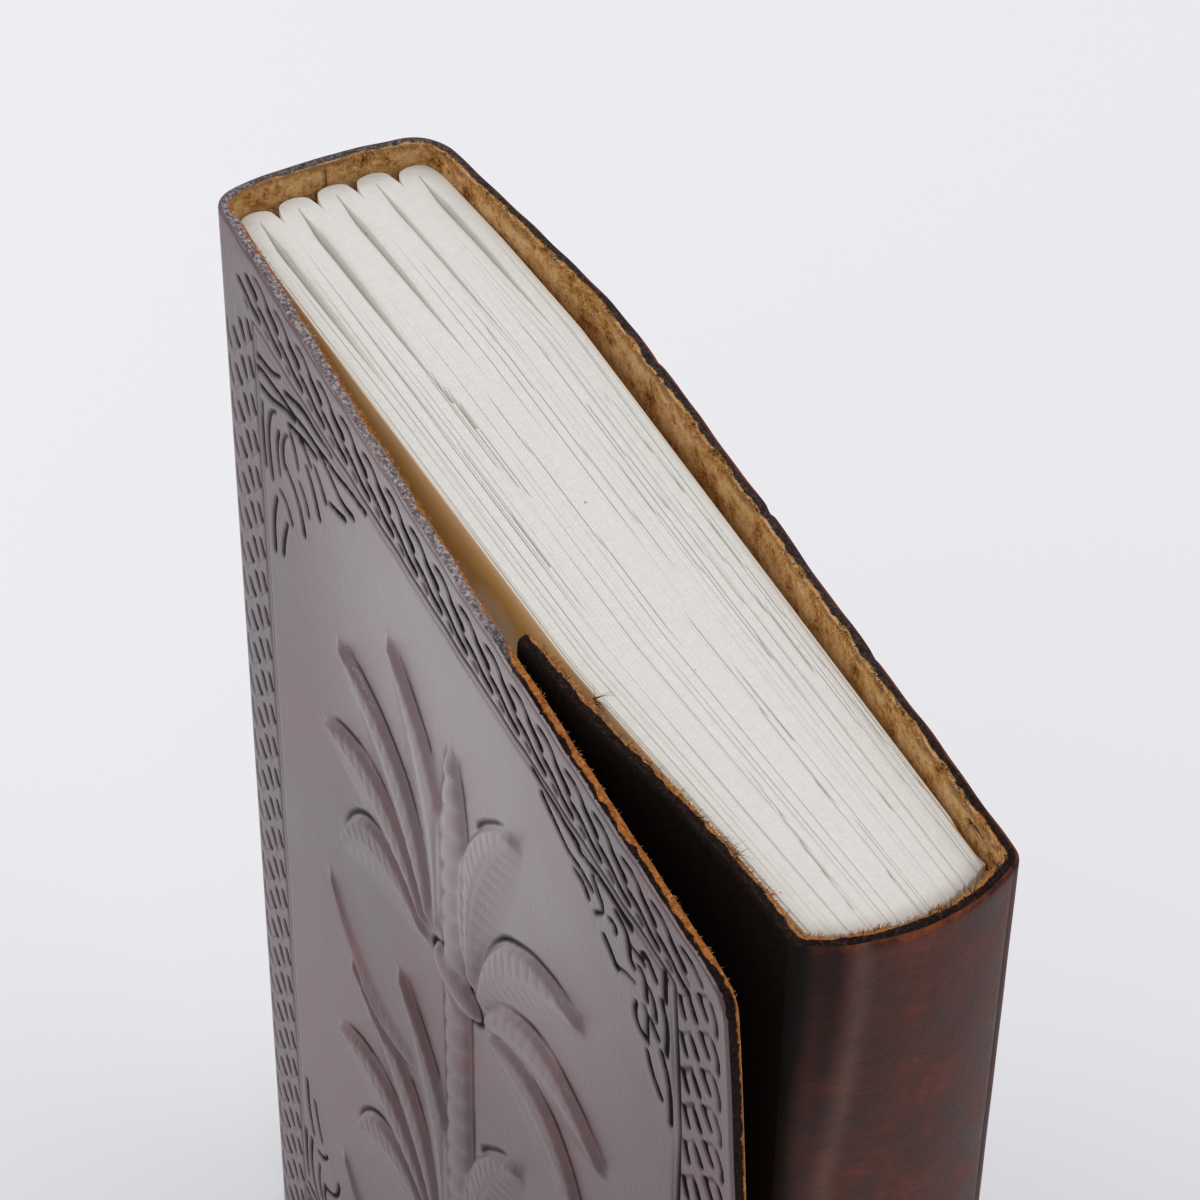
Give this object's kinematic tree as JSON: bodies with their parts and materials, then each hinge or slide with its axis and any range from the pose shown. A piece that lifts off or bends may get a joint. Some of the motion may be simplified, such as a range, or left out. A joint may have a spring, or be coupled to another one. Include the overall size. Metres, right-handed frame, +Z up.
{
  "type": "leather notebook",
  "caption": "Wrap-around leather journal with an embossed front cover, a rounded fore-edge wall, a tuck flap and a sewn block of handmade paper.",
  "frame": {"origin": "middle of the notebook's bounding box, on the surface it stands on", "axes": "+X from the spine to the fore-edge, -Y out of the front cover, +Z up along the height from tail to head"},
  "size_m": [0.1359, 0.0392, 0.184],
  "materials": {
    "hide": "satin, dark brown",
    "pages": "matte, off-white rag paper",
    "thread": "waxed natural linen"
  },
  "bodies": {
    "bound_pages": {"cover_wrap": "hide", "page_block": "pages", "signature_thread_1": "thread", "signature_thread_2": "thread", "signature_thread_3": "thread", "signature_thread_4": "thread", "signature_thread_5": "thread"},
    "front_cover": {"front_cover": "hide"}
  },
  "joints": [
    {"name": "front_cover_hinge", "type": "hinge", "parent": "bound_pages", "child": "front_cover", "pos_m": [-0.06577, -0.01164, 0.092], "axis": [0, 0, -1], "range_deg": [0, 175]}
  ]
}
